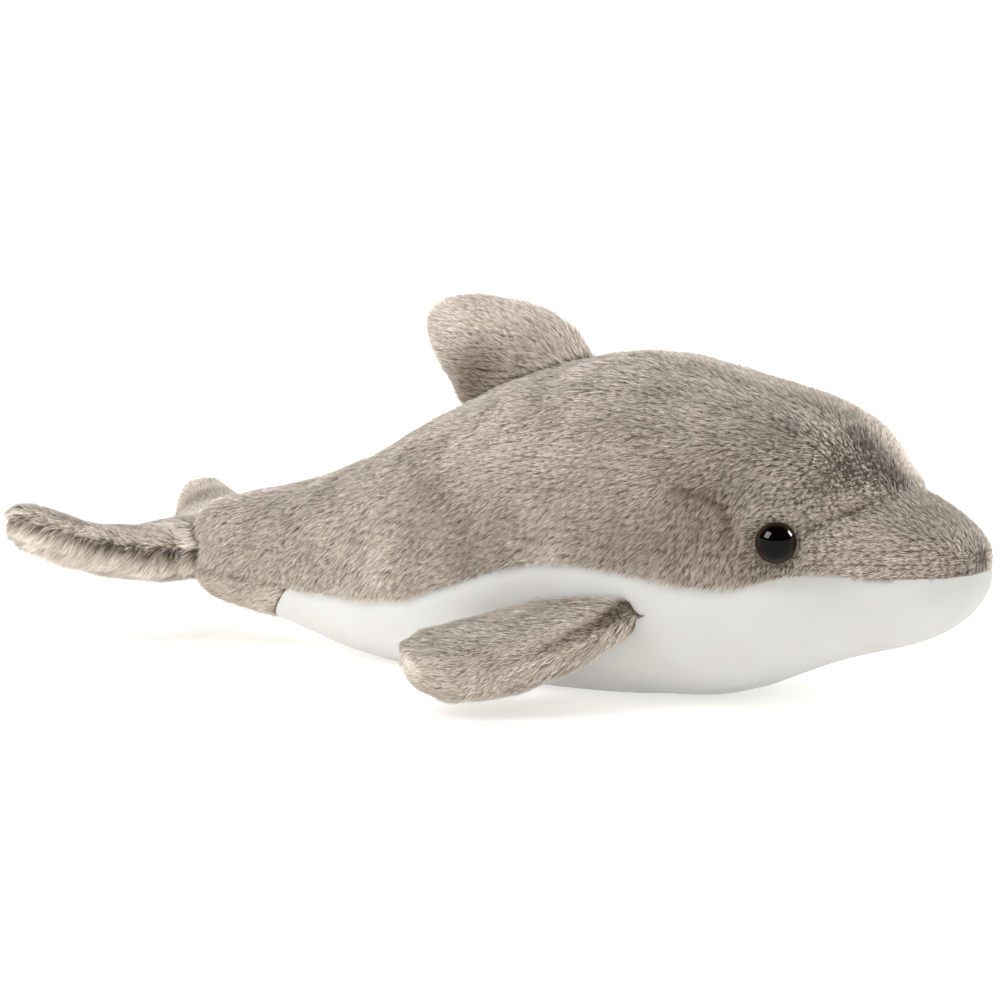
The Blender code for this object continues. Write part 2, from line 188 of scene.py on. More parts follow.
def pile_finish(name, stops):
    """Acrylic fur pile: cut fibres, drawn dark in the depth of the pile as painted shade, and pale at their
    tips.
    """
    material, tree, shader = new_finish(name)
    along = add_node(tree, "ShaderNodeAttribute", attribute_name="along")
    ramp = add_node(tree, "ShaderNodeValToRGB", [("Fac", along.outputs["Fac"])])
    ramp_stops(ramp, stops)
    tone = add_node(tree, "ShaderNodeAttribute", attribute_name="tone")
    # Brushed and crushed patches, about 11 mm across
    place = add_node(tree, "ShaderNodeTexCoord")
    patches = add_node(tree, "ShaderNodeTexNoise", [("Vector", place.outputs["Object"])],
                       scale=1.0 / (11.0 * MM), detail=3.0)
    spread = add_node(tree, "ShaderNodeMapRange", [("Value", patches.outputs["Fac"])],
                      from_min=0.3, from_max=0.7, to_min=0.87, to_max=1.13)
    both = add_node(tree, "ShaderNodeMath", [(0, tone.outputs["Fac"]), (1, spread.outputs["Result"])],
                    operation="MULTIPLY")
    # Darker fur is also a little browner
    dim = add_node(tree, "ShaderNodeMath", [(0, both.outputs["Value"])], [(1, 1.0)], operation="MINIMUM")
    tint = add_node(tree, "ShaderNodeCombineXYZ", x=1.0)
    for target, bend in (("Y", 0.14), ("Z", 0.32)):
        strength = add_node(tree, "ShaderNodeMath", [(0, dim.outputs["Value"])], [(1, bend)],
                            operation="POWER")
        tree.links.new(strength.outputs["Value"], tint.inputs[target])
    warm = add_node(tree, "ShaderNodeVectorMath", [(0, ramp.outputs["Color"]), (1, tint.outputs["Vector"])],
                    operation="MULTIPLY")
    shade = add_node(tree, "ShaderNodeVectorMath", [(0, warm.outputs["Vector"]),
                                                    ("Scale", both.outputs["Value"])], operation="SCALE")
    tree.links.new(shade.outputs["Vector"], shader.inputs["Base Color"])
    set_shader(shader, roughness=0.75, specular_ior_level=0.25, sheen_weight=0.8, sheen_roughness=0.3)
    shader.inputs["Sheen Tint"].default_value = linear("#FFF6EA")
    face_out(tree, shader)
    return material


def backing_finish():
    """Knitted backing cloth of the fur, seen only between the fibres; its dark colour is painted shade."""
    material, tree, shader = new_finish("fur_backing_painted_shade_knit")
    place = add_node(tree, "ShaderNodeTexCoord")
    # Stitches of the knit, about 0.8 mm apart
    knit = add_node(tree, "ShaderNodeTexNoise", [("Vector", place.outputs["Object"])],
                    scale=1.0 / (0.8 * MM), detail=2.0)
    ramp = add_node(tree, "ShaderNodeValToRGB", [("Fac", knit.outputs["Fac"])])
    ramp_stops(ramp, ((0.3, "#5E554D"), (0.7, "#857A70")))
    tree.links.new(ramp.outputs["Color"], shader.inputs["Base Color"])
    bump = add_node(tree, "ShaderNodeBump", [("Height", knit.outputs["Fac"])], strength=0.6,
                    distance=0.4 * MM)
    tree.links.new(bump.outputs["Normal"], shader.inputs["Normal"])
    set_shader(shader, roughness=0.95, specular_ior_level=0.1)
    return material


def plush_finish():
    """White short plush: fibres too short and fine to tell apart, so it shades like soft felt."""
    material, tree, shader = new_finish("white_short_plush")
    place = add_node(tree, "ShaderNodeTexCoord")
    # The nap leans in soft patches about 14 mm across
    nap = add_node(tree, "ShaderNodeTexNoise", [("Vector", place.outputs["Object"])],
                   scale=1.0 / (14.0 * MM), detail=3.0)
    ramp = add_node(tree, "ShaderNodeValToRGB", [("Fac", nap.outputs["Fac"])])
    ramp_stops(ramp, ((0.3, "#C0BFBD"), (0.7, "#C4C4C2")))
    # Painted light makes it paler towards the tail, and painted shade a little darker where it rests on the
    # floor
    spot = add_node(tree, "ShaderNodeSeparateXYZ", [("Vector", place.outputs["Object"])])
    rear_light_painted = add_node(tree, "ShaderNodeMapRange", [("Value", spot.outputs["X"])],
                     from_min=-70.0 * MM, from_max=-20.0 * MM, to_min=1.16, to_max=1.0)
    floor_shade_painted = add_node(tree, "ShaderNodeMapRange", [("Value", spot.outputs["Z"])],
                    from_min=1.0 * MM, from_max=11.0 * MM, to_min=0.84, to_max=1.0)
    both = add_node(tree, "ShaderNodeMath", [(0, rear_light_painted.outputs["Result"]), (1, floor_shade_painted.outputs["Result"])],
                    operation="MULTIPLY")
    shade = add_node(tree, "ShaderNodeVectorMath", [(0, ramp.outputs["Color"]),
                                                    ("Scale", both.outputs["Value"])], operation="SCALE")
    tree.links.new(shade.outputs["Vector"], shader.inputs["Base Color"])
    # Fibre ends, drawn 0.5 mm apart so that they show
    ends = add_node(tree, "ShaderNodeTexNoise", [("Vector", place.outputs["Object"])],
                    scale=1.0 / (0.5 * MM), detail=2.0)
    bump = add_node(tree, "ShaderNodeBump", [("Height", ends.outputs["Fac"])], strength=0.08,
                    distance=0.1 * MM)
    tree.links.new(bump.outputs["Normal"], shader.inputs["Normal"])
    set_shader(shader, roughness=0.9, specular_ior_level=0.2, sheen_weight=0.1, sheen_roughness=0.5)
    return material


def eye_finish():
    """Moulded acrylic eye: a black pupil in a dark amber dome, polished and lacquered."""
    material, tree, shader = new_finish("polished_acrylic_eye")
    ring = add_node(tree, "ShaderNodeAttribute", attribute_name="from_axis")
    ramp = add_node(tree, "ShaderNodeValToRGB", [("Fac", ring.outputs["Fac"])])
    ramp_stops(ramp, ((0.0, "#040404"), (0.74, "#050404"), (0.82, "#1A110A"), (0.94, "#2A1B10"),
                      (1.0, "#140D08")))
    tree.links.new(ramp.outputs["Color"], shader.inputs["Base Color"])
    set_shader(shader, roughness=0.05, ior=1.49, specular_ior_level=0.12)
    return material


def washer_finish():
    """Moulded white polyethylene, slightly waxy, with the faint rings of its mould."""
    material, tree, shader = new_finish("moulded_polyethylene")
    place = add_node(tree, "ShaderNodeTexCoord")
    grain = add_node(tree, "ShaderNodeTexNoise", [("Vector", place.outputs["Object"])],
                     scale=1.0 / (1.5 * MM), detail=2.0)
    ramp = add_node(tree, "ShaderNodeValToRGB", [("Fac", grain.outputs["Fac"])])
    ramp_stops(ramp, ((0.3, "#D9D8D2"), (0.7, "#E4E3DE")))
    tree.links.new(ramp.outputs["Color"], shader.inputs["Base Color"])
    set_shader(shader, roughness=0.4, ior=1.51)
    return material


def floor_finish():
    """Matt opal acrylic of a shadowless table, lit faintly from below."""
    material, tree, shader = new_finish("opal_acrylic_table")
    place = add_node(tree, "ShaderNodeTexCoord")
    grain = add_node(tree, "ShaderNodeTexNoise", [("Vector", place.outputs["Object"])], scale=40.0)
    ramp = add_node(tree, "ShaderNodeValToRGB", [("Fac", grain.outputs["Fac"])])
    ramp_stops(ramp, ((0.3, "#F3F1EC"), (0.7, "#F6F4EF")))
    tree.links.new(ramp.outputs["Color"], shader.inputs["Base Color"])
    set_shader(shader, roughness=1.0, specular_ior_level=0.0, emission_strength=0.45)
    shader.inputs["Emission Color"].default_value = linear("#FFFFFF")
    return material


def new_piece(name, mesh, material, slot=None):
    """Put a mesh in the scene as a piece of the toy, riding on its one body."""
    piece = bpy.data.objects.new(name, mesh)
    bpy.context.scene.collection.objects.link(piece)
    mesh.materials.clear()
    mesh.materials.append(material)
    if slot:
        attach(piece, "root")
    return piece


def positions(mesh):
    found = np.empty(len(mesh.vertices) * 3)
    mesh.vertices.foreach_get("co", found)
    return found.reshape(-1, 3)


def place_points(mesh, points):
    mesh.vertices.foreach_set("co", np.asarray(points, dtype=np.float64).ravel())
    mesh.update()


def point_normals(mesh):
    found = np.empty(len(mesh.vertices) * 3)
    mesh.vertex_normals.foreach_get("vector", found)
    return found.reshape(-1, 3)


def joined_copy(nodes):
    """One BMesh holding copies of several CAD nodes; the caller frees it."""
    work = bmesh.new()
    for node in nodes:
        work.from_mesh(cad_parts[node].data)
    bmesh.ops.remove_doubles(work, verts=work.verts, dist=0.001 * MM)
    return work


def tree_of(nodes):
    work = joined_copy(nodes)
    found = BVHTree.FromBMesh(work)
    work.free()
    return found


def distances(points, tree):
    """How far each point is from a surface."""
    return np.array([tree.find_nearest(Vector(p))[3] for p in points])


def depth_inside(points, tree, reach=9.0 * MM):
    """How deep each point lies inside a closed surface; negative outside it, and out of its reach."""
    depths = np.full(len(points), -reach)
    for i, p in enumerate(points):
        spot, normal, _, _ = tree.find_nearest(Vector(p), reach)
        if spot is not None:
            depths[i] = (spot - Vector(p)).dot(normal)
    return depths


def keep_outer_shell(mesh):
    """Drop the closed bubbles that the remesh leaves inside a form."""
    work = bmesh.new()
    work.from_mesh(mesh)
    work.verts.ensure_lookup_table()
    unseen = set(work.verts)
    shells = []
    while unseen:
        shell, edge_of = set(), [unseen.pop()]
        while edge_of:
            vert = edge_of.pop()
            shell.add(vert)
            for edge in vert.link_edges:
                other = edge.other_vert(vert)
                if other in unseen:
                    unseen.discard(other)
                    edge_of.append(other)
        shells.append(shell)
    shells.sort(key=len)
    for shell in shells[:-1]:
        bmesh.ops.delete(work, geom=list(shell), context="VERTS")
    work.to_mesh(mesh)
    work.free()


def apply_all(piece):
    bpy.ops.object.select_all(action="DESELECT")
    piece.select_set(True)
    bpy.context.view_layer.objects.active = piece
    for modifier in list(piece.modifiers):
        bpy.ops.object.modifier_apply(modifier=modifier.name)


def stuffed_form(name, nodes, voxel, seams, cap):
    """One closed, stuffed form over several CAD nodes, swollen by its stuffing between its seams."""
    work = joined_copy(nodes)
    mesh = bpy.data.meshes.new(name)
    work.to_mesh(mesh)
    work.free()
    form = bpy.data.objects.new(name, mesh)
    bpy.context.scene.collection.objects.link(form)
    remesh = form.modifiers.new("cloth_grid", "REMESH")
    remesh.mode = "VOXEL"
    remesh.voxel_size = voxel
    smooth = form.modifiers.new("ease", "SMOOTH")
    smooth.factor = 0.5
    smooth.iterations = 6
    apply_all(form)
    keep_outer_shell(form.data)
    regain(form.data, tree_of(nodes), 5.0 * MM)
    inflate(form, seams, cap)
    finer = form.modifiers.new("finer", "SUBSURF")
    finer.levels = 1
    finer.render_levels = 1
    apply_all(form)
    return form


def regain(mesh, tree, reach):
    """Bring a form back out to the pattern where the smoothing has drawn it in."""
    points, normals = positions(mesh), point_normals(mesh)
    for i, (p, n) in enumerate(zip(points, normals)):
        _, _, _, far = tree.ray_cast(Vector(p + n * reach), Vector(-n), reach)
        if far is not None:
            points[i] = p + n * (reach - far)
    place_points(mesh, points)


def draw_in(points, mesh, rounds, least):
    """Draw the points of a spike in, as long as they stand off those round them by a least distance."""
    ends = np.empty(len(mesh.edges) * 2, dtype=np.int32)
    mesh.edges.foreach_get("vertices", ends)
    first, second = ends.reshape(-1, 2).T
    links = np.maximum(np.bincount(ends, minlength=len(points)), 1)
    for _ in range(rounds):
        around = np.column_stack([np.bincount(first, points[second, axis], len(points))
                                  + np.bincount(second, points[first, axis], len(points))
                                  for axis in range(3)]) / links[:, None]
        astray = np.linalg.norm(around - points, axis=1) > least
        points[astray] = around[astray]


def inflate(form, seams, cap):
    """Let the stuffing press the cloth outwards, held at the seams, by at most a cap."""
    before = positions(form.data)
    first, second = (tree_of(side) for side in seams)
    apart = np.abs(distances(before, first) - distances(before, second))
    held = form.vertex_groups.new(name="seams")
    held.add([int(i) for i in np.nonzero(apart < SEAM_HOLD)[0]], 1.0, "REPLACE")
    cloth = form.modifiers.new("stuffing", "CLOTH")
    cloth.settings.vertex_group_mass = "seams"
    cloth.settings.use_pressure = True
    cloth.settings.uniform_pressure_force = CLOTH_PRESSURE
    cloth.settings.effector_weights.gravity = 0.0
    cloth.point_cache.frame_end = CLOTH_FRAMES
    for moment in range(1, CLOTH_FRAMES + 1):
        bpy.context.scene.frame_set(moment)
    apply_all(form)
    moved = positions(form.data) - before
    far = np.linalg.norm(moved, axis=1, keepdims=True)
    place_points(form.data, before + moved * np.minimum(1.0, cap / np.maximum(far, 1e-9)))
    form.vertex_groups.clear()
    bpy.context.scene.frame_set(1)


def ripple(points, size, seed, waves=10):
    """Seeded ripples of about unit strength, whose humps are about a size apart."""
    rng = np.random.default_rng(seed)
    total = np.zeros(len(points))
    for _ in range(waves):
        heading = rng.normal(size=3)
        heading /= np.linalg.norm(heading)
        pitch = 2.0 * math.pi / (size * rng.uniform(1.2, 2.8))
        total += np.sin(points @ heading * pitch + rng.uniform(0.0, 2.0 * math.pi))
    return total / math.sqrt(waves / 2.0)


def rising(values, start, reach):
    """0 up to a start, then rising to 1 over a reach; a negative reach rises the other way."""
    return np.clip((values - start) / reach, 0.0, 1.0)


def hump(gap, width):
    """1 where a gap is nil, fading over a width on both sides."""
    return np.exp(-(gap / width) ** 2)


def unit(vectors):
    return vectors / np.maximum(np.linalg.norm(vectors, axis=1, keepdims=True), 1e-9)


def near(points, centre, reach):
    """Soft weights, 1 at a centre and fading over a reach (x, y, z); None leaves an axis out."""
    weights = np.zeros(len(points))
    for axis in range(3):
        if reach[axis]:
            weights += ((points[:, axis] - centre[axis]) / reach[axis]) ** 2
    return np.exp(-weights)


def root_places(mesh, per_mm2, rng, faces=None, fields=()):
    """Evenly spread places on a mesh: their normals and the fields given at its points."""
    mesh.calc_loop_triangles()
    corners = np.empty(len(mesh.loop_triangles) * 3, dtype=np.int32)
    mesh.loop_triangles.foreach_get("vertices", corners)
    corners = corners.reshape(-1, 3)
    if faces is not None:
        corners = corners[faces(mesh, corners)]
    points, normals = positions(mesh), point_normals(mesh)
    a, b, c = (points[corners[:, i]] for i in range(3))
    areas = np.linalg.norm(np.cross(b - a, c - a), axis=1) * 0.5
    total = np.cumsum(areas)
    count = int(total[-1] / MM ** 2 * per_mm2)
    picks = np.searchsorted(total, (np.arange(count) + rng.random(count)) / count * total[-1])
    picks = np.minimum(picks, len(corners) - 1)
    shares = rng.random((count, 2))
    over = shares.sum(axis=1) > 1.0
    shares[over] = 1.0 - shares[over]
    weights = np.column_stack((1.0 - shares.sum(axis=1), shares))
    chosen = corners[picks]

    def between(values):
        return sum((values[chosen[:, i]].T * weights[:, i]).T for i in range(3))
    return [between(points), unit(between(normals))] + [between(field) for field in fields]


def lay_fibres(name, roots, normals, nap, seed, width=BLADE_WIDTH, clump=0.62, flatness=0.7):
    """Blades of grey pile: each springs from its root, leans along the nap and ends in a point.

    The nap is the comb's heading, the length, the lift in degrees, the tone and the depth for each blade.
    The clump is how far the blades of a lock lean together, the flatness how far a blade shades as the
    skin below it does.
    """
    comb, length, lift, tone, depth = nap
    rng = np.random.default_rng(seed)
    count = len(roots)
    flat = unit(comb - normals * np.sum(comb * normals, axis=1, keepdims=True))
    across = np.cross(flat, normals)
    # The nap swirls and stands up in gentle waves, and each blade strays from it a little
    swirl = np.radians(7.0 * ripple(roots, 13.0 * MM, 77) + 10.0 * rng.normal(size=count))
    flat = flat * np.cos(swirl)[:, None] + across * np.sin(swirl)[:, None]
    length = length * rng.uniform(0.7, 1.2, count) * (1.0 + 0.06 * ripple(roots, 7.0 * MM, 78))
    rise = np.radians(np.clip(lift + 7.0 * rng.normal(size=count) + 4.0 * ripple(roots, 6.0 * MM, 79),
                              5.0, 85.0))
    tips = roots + (flat * np.cos(rise)[:, None] + normals * np.sin(rise)[:, None]) * length[:, None]

    # The fibres of one lock lean towards the tip of one of them
    cells = np.floor(roots / LOCK_SIZE + 0.15 * rng.normal(size=roots.shape)).astype(np.int64) + LOCK_MIDDLE
    codes = (cells[:, 0] * LOCK_GRID + cells[:, 1]) * LOCK_GRID + cells[:, 2]
    _, leaders, lock = np.unique(codes, return_index=True, return_inverse=True)
    gather = clump * (0.3 + 0.7 * depth) * rng.uniform(0.4, 1.0, count)
    tips += (tips[leaders[lock]] - tips) * gather[:, None]

    across = np.cross(flat, normals)
    roll = np.radians(rng.normal(size=count) * 28.0)
    across = across * np.cos(roll)[:, None] + normals * np.sin(roll)[:, None]
    half = (0.5 * width * rng.uniform(0.7, 1.3, count))[:, None] * across
    verts = np.stack((roots - half, roots + half, tips), axis=1)
    facing = unit(np.cross(across, tips - roots))
    facing = unit(facing * (1.0 - flatness) + normals * flatness)

    mesh = bpy.data.meshes.new(name)
    mesh.vertices.add(count * 3)
    mesh.vertices.foreach_set("co", verts.ravel())
    mesh.loops.add(count * 3)
    mesh.loops.foreach_set("vertex_index", np.arange(count * 3, dtype=np.int32))
    mesh.polygons.add(count)
    mesh.polygons.foreach_set("loop_start", np.arange(count, dtype=np.int32) * 3)
    mesh.update(calc_edges=True)
    # The more the pile is parted, the deeper the foot of its blades shows, drawn darker as painted shade
    along = mesh.attributes.new("along", "FLOAT", "POINT")
    shown = 0.6 * (1.0 - np.clip(depth, 0.0, 1.0))
    along.data.foreach_set("value", np.stack((shown, shown, np.ones(count)), axis=1).ravel())
    shades = mesh.attributes.new("tone", "FLOAT", "POINT")
    tone = tone * np.clip(1.0 + 0.31 * rng.normal(size=count), 0.4, 1.8)
    shades.data.foreach_set("value", np.repeat(tone, 3))
    add_atlas(mesh, count)
    mesh.shade_smooth()
    mesh.normals_split_custom_set_from_vertices(np.repeat(facing, 3, axis=0).tolist())
    return new_piece(name, mesh, finishes["pile"], "grey_fur")


def add_atlas(mesh, count):
    """Give each blade its own cell of the texture, in the order of the blades over the cloth."""
    rows = math.ceil(math.sqrt(count))
    column, row = np.arange(count) % rows, np.arange(count) // rows
    corner = np.array(((0.1, 0.1), (0.9, 0.1), (0.5, 0.9)))
    cells = np.stack((column, row), axis=1)[:, None, :] + corner[None, :, :]
    layer = mesh.uv_layers.new(name="OFBake")
    layer.uv.foreach_set("vector", (cells / rows).ravel())


def make_camera():
    across, up = math.sin(CAMERA_TURN), math.cos(CAMERA_TURN)
    level, dip = math.cos(CAMERA_RISE), math.sin(CAMERA_RISE)
    look = Vector((-across * level, up * level, -dip))
    data = bpy.data.cameras.new("photo_camera")
    data.sensor_width = SENSOR_MM
    data.lens = LENS_MM
    data.clip_start = 0.05
    data.clip_end = 30.0
    camera = bpy.data.objects.new("photo_camera", data)
    camera.location = CAMERA_TARGET - look * CAMERA_DISTANCE
    camera.rotation_euler = look.to_track_quat("-Z", "Y").to_euler()
    bpy.context.scene.collection.objects.link(camera)
    bpy.context.scene.camera = camera
    return look


def add_softbox(name, heading, distance, size, power):
    """A square soft light that faces the toy from a heading."""
    data = bpy.data.lights.new(name, "AREA")
    data.shape = "SQUARE"
    data.size = size
    data.energy = power
    light = bpy.data.objects.new(name, data)
    light.location = CAMERA_TARGET + heading.normalized() * distance
    light.rotation_euler = (-heading).to_track_quat("-Z", "Y").to_euler()
    bpy.context.scene.collection.objects.link(light)
    return light


def make_studio(look):
    """White table with its edge curved up all round, a softbox on each side and one overhead."""
    right = look.cross(Vector((0.0, 0.0, 1.0))).normalized()
    upward = right.cross(look)
    # The eyes mirror only the bright middle of each side softbox
    for name, heading, width, power in (("left", -right * 0.58 + upward * 0.54 - look * 0.45, 0.95, 16.5),
                                        ("right", right * 0.80 + upward * 0.50 + look * 0.05, 0.60, 6.0)):
        add_softbox(name + "_softbox", heading, 1.9, 1.3, power).visible_glossy = False
        add_softbox(name + "_softbox_middle", heading, 1.85, width, 60.0).visible_diffuse = False
    add_softbox("overhead_softbox", Vector((0.0, 0.05, 1.0)), 2.0, 2.2, 17.0).visible_glossy = False

    work = bmesh.new()
    flat, bend = 2.1, 0.5
    profile = [(0.0, 0.0), (0.5, 0.0), (1.2, 0.0), (flat, 0.0)]
    for i in range(1, 9):
        turn = 0.5 * math.pi * i / 8
        profile.append((flat + bend * math.sin(turn), bend * (1.0 - math.cos(turn))))
    profile.append((flat + bend, 0.8))
    points = [work.verts.new((radius, 0.0, height)) for radius, height in profile]
    edges = [work.edges.new(pair) for pair in zip(points, points[1:])]
    bmesh.ops.spin(work, geom=points + edges, cent=(0, 0, 0), axis=(0, 0, 1), angle=2.0 * math.pi, steps=72)
    bmesh.ops.remove_doubles(work, verts=work.verts, dist=0.1 * MM)
    bmesh.ops.recalc_face_normals(work, faces=work.faces)
    mesh = bpy.data.meshes.new("studio_floor")
    work.to_mesh(mesh)
    work.free()
    mesh.shade_smooth()
    floor = new_piece("studio_floor", mesh, floor_finish())

    world = bpy.data.worlds.new("studio_air")
    world.use_nodes = True
    air = world.node_tree.nodes["Background"]
    air.inputs["Color"].default_value = linear("#F4F5F7")
    air.inputs["Strength"].default_value = 0.53
    world.cycles_visibility.glossy = False
    bpy.context.scene.world = world
    bpy.context.scene.view_settings.view_transform = "Standard"


def cut_where_zero(work, values):
    """Split faces along the line where a value at the vertices changes its sign."""
    layer = work.verts.layers.float.new("side")
    for vert, value in zip(work.verts, values):
        vert[layer] = value
    for edge in list(work.edges):
        a, b = edge.verts
        if a[layer] * b[layer] < 0.0:
            share = a[layer] / (a[layer] - b[layer])
            _, middle = bmesh.utils.edge_split(edge, a, share)
            middle[layer] = 0.0
    for face in list(work.faces):
        cuts = [v for v in face.verts if v[layer] == 0.0]
        if len(cuts) == 2 and not any(e.other_vert(cuts[0]) is cuts[1] for e in cuts[0].link_edges):
            bmesh.utils.face_split(face, cuts[0], cuts[1])
    return layer


def face_part(form, name, values, keep_negative):
    """Copy of a form with only the faces on one side of the line where a value is zero."""
    work = bmesh.new()
    work.from_mesh(form.data)
    work.verts.ensure_lookup_table()
    layer = cut_where_zero(work, values)
    wrong = []
    for face in work.faces:
        middle = sum(v[layer] for v in face.verts)
        if (middle < 0.0) != keep_negative:
            wrong.append(face)
    bmesh.ops.delete(work, geom=wrong, context="FACES")
    work.verts.layers.float.remove(work.verts.layers.float["side"])
    mesh = bpy.data.meshes.new(name)
    work.to_mesh(mesh)
    work.free()
    return mesh


def sink(mesh, depth):
    """Move a skin inwards by a depth, one for all points or one for each."""
    place_points(mesh, positions(mesh) - point_normals(mesh) * np.reshape(depth, (-1, 1)))


def cloth_piece(name, mesh, material, slot, nodes):
    """A panel of backing cloth with its wall, which stands for its CAD nodes."""
    mesh.shade_smooth()
    piece = new_piece(name, mesh, material, slot)
    wall = piece.modifiers.new("cloth", "SOLIDIFY")
    wall.thickness = CLOTH_WALL
    wall.offset = -1.0
    apply_all(piece)
    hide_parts(*nodes)
    return piece


def eye_place(node):
    """Middle of a CAD eye's widest ring, its axis out of the fur, its radius and its height."""
    points = positions(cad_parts[node].data)
    centre = points.mean(axis=0)
    strengths, axes = np.linalg.eigh(np.cov((points - centre).T))
    # The eye is round, so the other two spreads are the most alike
    gaps = [abs(strengths[i - 2] - strengths[i - 1]) for i in range(3)]
    axis = axes[:, int(np.argmin(gaps))]
    if axis[1] * centre[1] < 0.0:
        axis = -axis
    heights = (points - centre) @ axis
    radii = np.linalg.norm(points - centre - heights[:, None] * axis, axis=1)
    widest = heights[radii > radii.max() - 0.05 * MM].max()
    middle = Vector(centre + axis * widest) + EYE_SHIFT
    return middle, Vector(axis), float(radii.max()) * EYE_SHOWN, float(heights.max() - widest)


def make_eye(side, place):
    """A domed eye with a lens-shaped base that sinks into the pile."""
    centre, axis, radius, height = place
    bpy.ops.object.select_all(action="DESELECT")
    bpy.ops.mesh.primitive_uv_sphere_add(segments=48, ring_count=32, radius=radius)
    eye = bpy.context.object
    eye.name = eye.data.name = "eye_" + side + "_dome"
    turn = axis.to_track_quat("Z", "Y").to_matrix()
    spots = positions(eye.data)
    from_axis = np.linalg.norm(spots[:, :2], axis=1) / radius
    from_axis[spots[:, 2] < 0.0] = 1.0
    spots[:, 2] *= np.where(spots[:, 2] > 0.0, height / radius, EYE_BASE)
    place_points(eye.data, spots @ np.array(turn).T + np.array(centre))
    ring = eye.data.attributes.new("from_axis", "FLOAT", "POINT")
    ring.data.foreach_set("value", from_axis)
    eye.data.shade_smooth()
    eye.data.materials.append(finishes["eye"])
    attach(eye, "root")
    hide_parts("eye_" + side)


def clear_of_eyes(roots, flat, length, eyes):
    """Turn the nap round the eyes, cut it short there, and give the roots that stay."""
    keep = np.ones(len(roots), dtype=bool)
    for centre, axis, radius, _ in eyes.values():
        offset = roots - np.array(centre)
        height = offset @ np.array(axis)
        outward = offset - height[:, None] * np.array(axis)
        away = np.linalg.norm(outward, axis=1)
        close = np.abs(height) < 10.0 * MM
        keep &= ~(close & (away < radius - 0.9 * MM))
        bend = np.where(close, 1.0 - rising(away, radius, 5.0 * MM), 0.0)
        flat += outward / np.maximum(away, 1e-6)[:, None] * (bend * 0.9)[:, None]
        length *= 1.0 - 0.45 * np.where(close, 1.0 - rising(away, radius, 3.0 * MM), 0.0)
    return keep


def from_line(points, line):
    """Distance to a line that is drawn on both cheeks, and 1 above it or -1 below it."""
    spots = points * np.array((1.0, 0.0, 1.0)) + np.abs(points) * np.array((0.0, 1.0, 0.0))
    best = np.full(len(points), 1.0)
    above = np.ones(len(points))
    for start, stop in zip(line, line[1:]):
        step = stop - start
        share = np.clip((spots - start) @ step / (step @ step), 0.0, 1.0)
        gap = spots - (start + share[:, None] * step)
        apart = np.linalg.norm(gap, axis=1)
        closer = apart < best
        best = np.where(closer, apart, best)
        above = np.where(closer, np.sign(gap[:, 2] + 0.3 * gap[:, 0]), above)
    return best, above


def body_nap(roots):
    """Nap of the body, from the snout to the tail and downwards: comb, length, lift, tone and depth.

    The places below are in metres, and the tone is 1 where the fur has its plain colour.
    """
    x, z = roots[:, 0], roots[:, 2]
    aside = np.abs(roots[:, 1])
    drop = 24.0 + 22.0 * rising(z, 0.075, -0.045)
    cheek = near(roots, (0.040, 0.0, 0.053), (0.016, None, 0.016))
    beak = rising(x, 0.060, 0.012) * rising(z, 0.064, -0.005)
    drop = drop + 45.0 * cheek * (1.0 - beak)
    drop = drop * (1.0 - beak) + 9.0 * beak
    fall = np.radians(drop)
    comb = np.column_stack((-np.cos(fall), 0.6 * np.sin(fall) * np.clip(roots[:, 1] / 0.010, -1.0, 1.0),
                            -np.sin(fall)))
    forehead = rising(x, 0.045, 0.020) * (1.0 - beak)
    rear = rising(x, -0.142, -0.012)
    # The nap parts along the fold, less so in the middle of the face
    gap, above = from_line(roots, FOLD)
    over = gap * above
    cheekward = np.clip(aside / 0.010, 0.25, 1.0)
    parted = hump(gap, 2.5 * MM) * cheekward
    comb[:, 2] += (0.1 + 0.4 * np.clip(over / (1.5 * MM), -1.0, 1.0)) * parted
    length = (3.2 - 1.1 * forehead - 0.9 * beak + 1.2 * rear) * (1.0 - 0.10 * parted) * MM
    lift = 19.0 + 24.0 * forehead - 2.0 * beak - 3.0 * rear
    crease = hump(from_line(roots, CHEEK_CREASE)[0], 1.3 * MM)
    under_eye_shade = near(roots, (0.053, 0.0, 0.044), (0.006, None, 0.005))
    # Painted shade darkens the pile along the cheek crease and under the eye, and painted light brightens
    # the stock's rear end against the shade where it meets the flukes
    tone = (1.0 + 0.20 * forehead + 0.05 * beak - 0.38 * crease - 0.36 * cheek - 0.22 * under_eye_shade
            + 0.28 * rear)
    # The fold is drawn pale on its lower lip as painted light and dark on its upper one as painted shade
    tone += (0.08 * hump(over + 1.8 * MM, 2.0 * MM) - 0.38 * hump(over - 1.2 * MM, 2.0 * MM)) * cheekward
    # The ridge of the back is drawn paler, a painted highlight where the light catches it
    tone += 0.40 * hump(roots[:, 1], 0.013) * rising(x, -0.015, -0.030)
    # So are both sides of the brow, a painted highlight, with a little darker tone down its middle
    brow = hump(x - 0.062 - 0.94 * (0.083 - z), 0.010) * rising(z, 0.058, 0.005)
    tone += brow * (0.38 * hump(aside - 0.017, 0.011) - 0.06 * hump(aside, 0.006))
    for middle_x, middle_z, reach_x, reach_z, change in PATCHES:
        tone += change * near(roots, (middle_x * MM, 0.0, middle_z * MM),
                              (reach_x * MM, None, reach_z * MM))
    # The deeper the pile shows at a blade's foot, the darker it is drawn: painted shade, most where it
    # parts, along the crease and on the cheek
    depth = 0.90 + 0.10 * forehead + 0.2 * parted + 0.3 * crease + 0.2 * cheek
    return comb, length, lift, tone, depth


